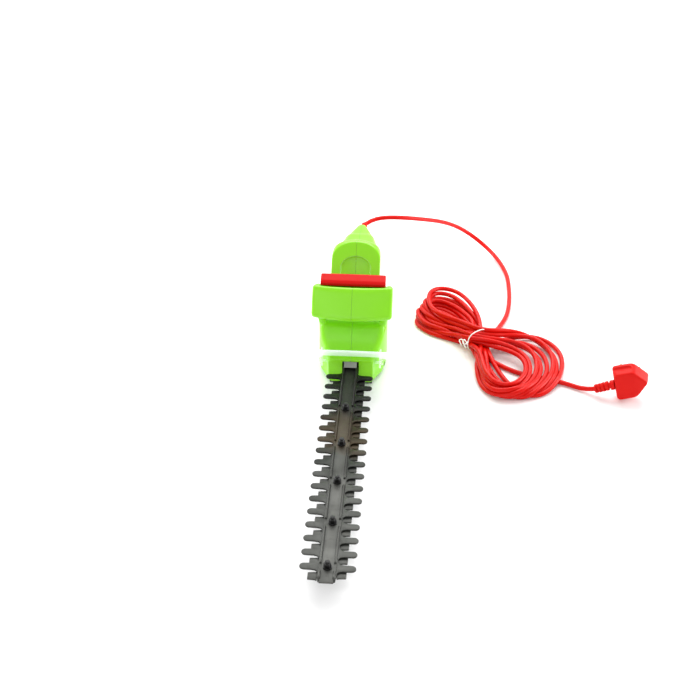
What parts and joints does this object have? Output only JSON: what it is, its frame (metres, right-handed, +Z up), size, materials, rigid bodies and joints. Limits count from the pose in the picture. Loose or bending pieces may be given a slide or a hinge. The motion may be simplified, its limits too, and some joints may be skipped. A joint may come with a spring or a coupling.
{
  "type": "electric hedge trimmer",
  "caption": "Corded electric hedge trimmer with a green housing, red switch lever, clear hand guard, toothed reciprocating blade, tied red mains cord and plug.",
  "frame": {"origin": "on the surface that the tool rests on, at the middle of the box round the tool without its free cord, hank and plug", "axes": "+Y from the tip of the blade to the rear handle, +X towards the side where the cord lies, +Z up"},
  "size_m": [0.4882, 0.8594, 0.1586],
  "materials": {
    "housing_green": "satin moulded green plastic",
    "red_plastic": "satin moulded red plastic",
    "red_flex": "smooth red PVC cord sheath",
    "red_grommet": "matt red flexible moulding",
    "black_plastic": "black moulded plastic",
    "clear_guard": "clear polished polycarbonate",
    "blade_steel": "ground blade steel with a dark oiled finish",
    "black_steel": "blackened steel",
    "zinc_steel": "zinc-plated steel",
    "machine_steel": "machined steel",
    "copper": "enamelled copper winding over a steel core",
    "bronze": "sintered bronze",
    "grey_felt": "grey oiled felt",
    "film_yellow": "moulded capacitor case",
    "white_wire": "white paper-covered wire"
  },
  "bodies": {
    "trimmer": {"bar_screw_1": "zinc_steel", "bar_screw_2": "zinc_steel", "base_cover": "black_plastic", "base_screw_1": "zinc_steel", "base_screw_2": "zinc_steel", "base_screw_3": "zinc_steel", "base_screw_4": "zinc_steel", "blade_bolt_1": "black_steel", "blade_bolt_2": "black_steel", "blade_bolt_3": "black_steel", "blade_bolt_4": "black_steel", "blade_bolt_5": "black_steel", "blade_nut_1": "black_steel", "blade_nut_2": "black_steel", "blade_nut_3": "black_steel", "blade_nut_4": "black_steel", "blade_nut_5": "black_steel", "blade_seal": "grey_felt", "blade_support_bar": "blade_steel", "brush_left": "black_plastic", "brush_right": "black_plastic", "cable_sleeve": "red_grommet", "capacitor": "film_yellow", "cord_hank": "red_flex", "cord_lead": "red_flex", "cord_tail": "red_flex", "crank_bush": "bronze", "fixed_blade": "blade_steel", "front_switch": "black_plastic", "gear_plate": "zinc_steel", "guard_screw_left": "clear_guard", "guard_screw_right": "clear_guard", "hand_guard": "clear_guard", "hank_tie": "white_wire", "housing_left": "housing_green", "housing_right": "housing_green", "housing_screw_1": "zinc_steel", "housing_screw_2": "zinc_steel", "housing_screw_3": "zinc_steel", "housing_screw_4": "zinc_steel", "housing_screw_5": "zinc_steel", "housing_screw_6": "zinc_steel", "lever_spring": "zinc_steel", "mains_plug": "red_flex", "motor_bearing_lower": "zinc_steel", "motor_bearing_upper": "zinc_steel", "motor_stator": "machine_steel", "plug_strain_relief": "red_grommet", "rear_switch": "black_plastic", "trigger_spring": "zinc_steel"},
    "cutting_blade": {"moving_blade": "blade_steel", "drive_yoke": "machine_steel"},
    "rotor": {"armature": "copper", "motor_pinion": "machine_steel", "cooling_fan": "black_plastic"},
    "crank": {"crank_gear": "machine_steel", "eccentric_shaft": "machine_steel"},
    "lever": {"front_lever": "red_plastic"},
    "trigger": {"rear_trigger": "red_plastic"}
  },
  "joints": [
    {"name": "blade_slide", "type": "slide", "parent": "trimmer", "child": "cutting_blade", "axis": [0, 1, 0], "range_m": [-0.009, 0.009]},
    {"name": "armature_spin", "type": "hinge", "parent": "trimmer", "child": "rotor", "pos_m": [0, 0.195, 0.084], "axis": [0, 0, 1], "continuous": true},
    {"name": "crank_spin", "type": "hinge", "parent": "trimmer", "child": "crank", "pos_m": [0, 0.166, 0.045], "axis": [0, 0, 1], "continuous": true},
    {"name": "front_lever", "type": "hinge", "parent": "trimmer", "child": "lever", "pos_m": [0, 0.136, 0.12], "axis": [1, 0, 0], "range_deg": [0, 5], "stiffness_Nm_per_rad": 1.2, "springref_deg": -8.59},
    {"name": "rear_trigger", "type": "hinge", "parent": "trimmer", "child": "trigger", "pos_m": [0, 0.261, 0.097], "axis": [-1, 0, 0], "range_deg": [0, 9], "stiffness_Nm_per_rad": 0.8, "springref_deg": -11.46}
  ],
  "couplings": [
    {"joint": "crank_spin", "follows": "armature_spin", "ratio": -0.20833}
  ]
}
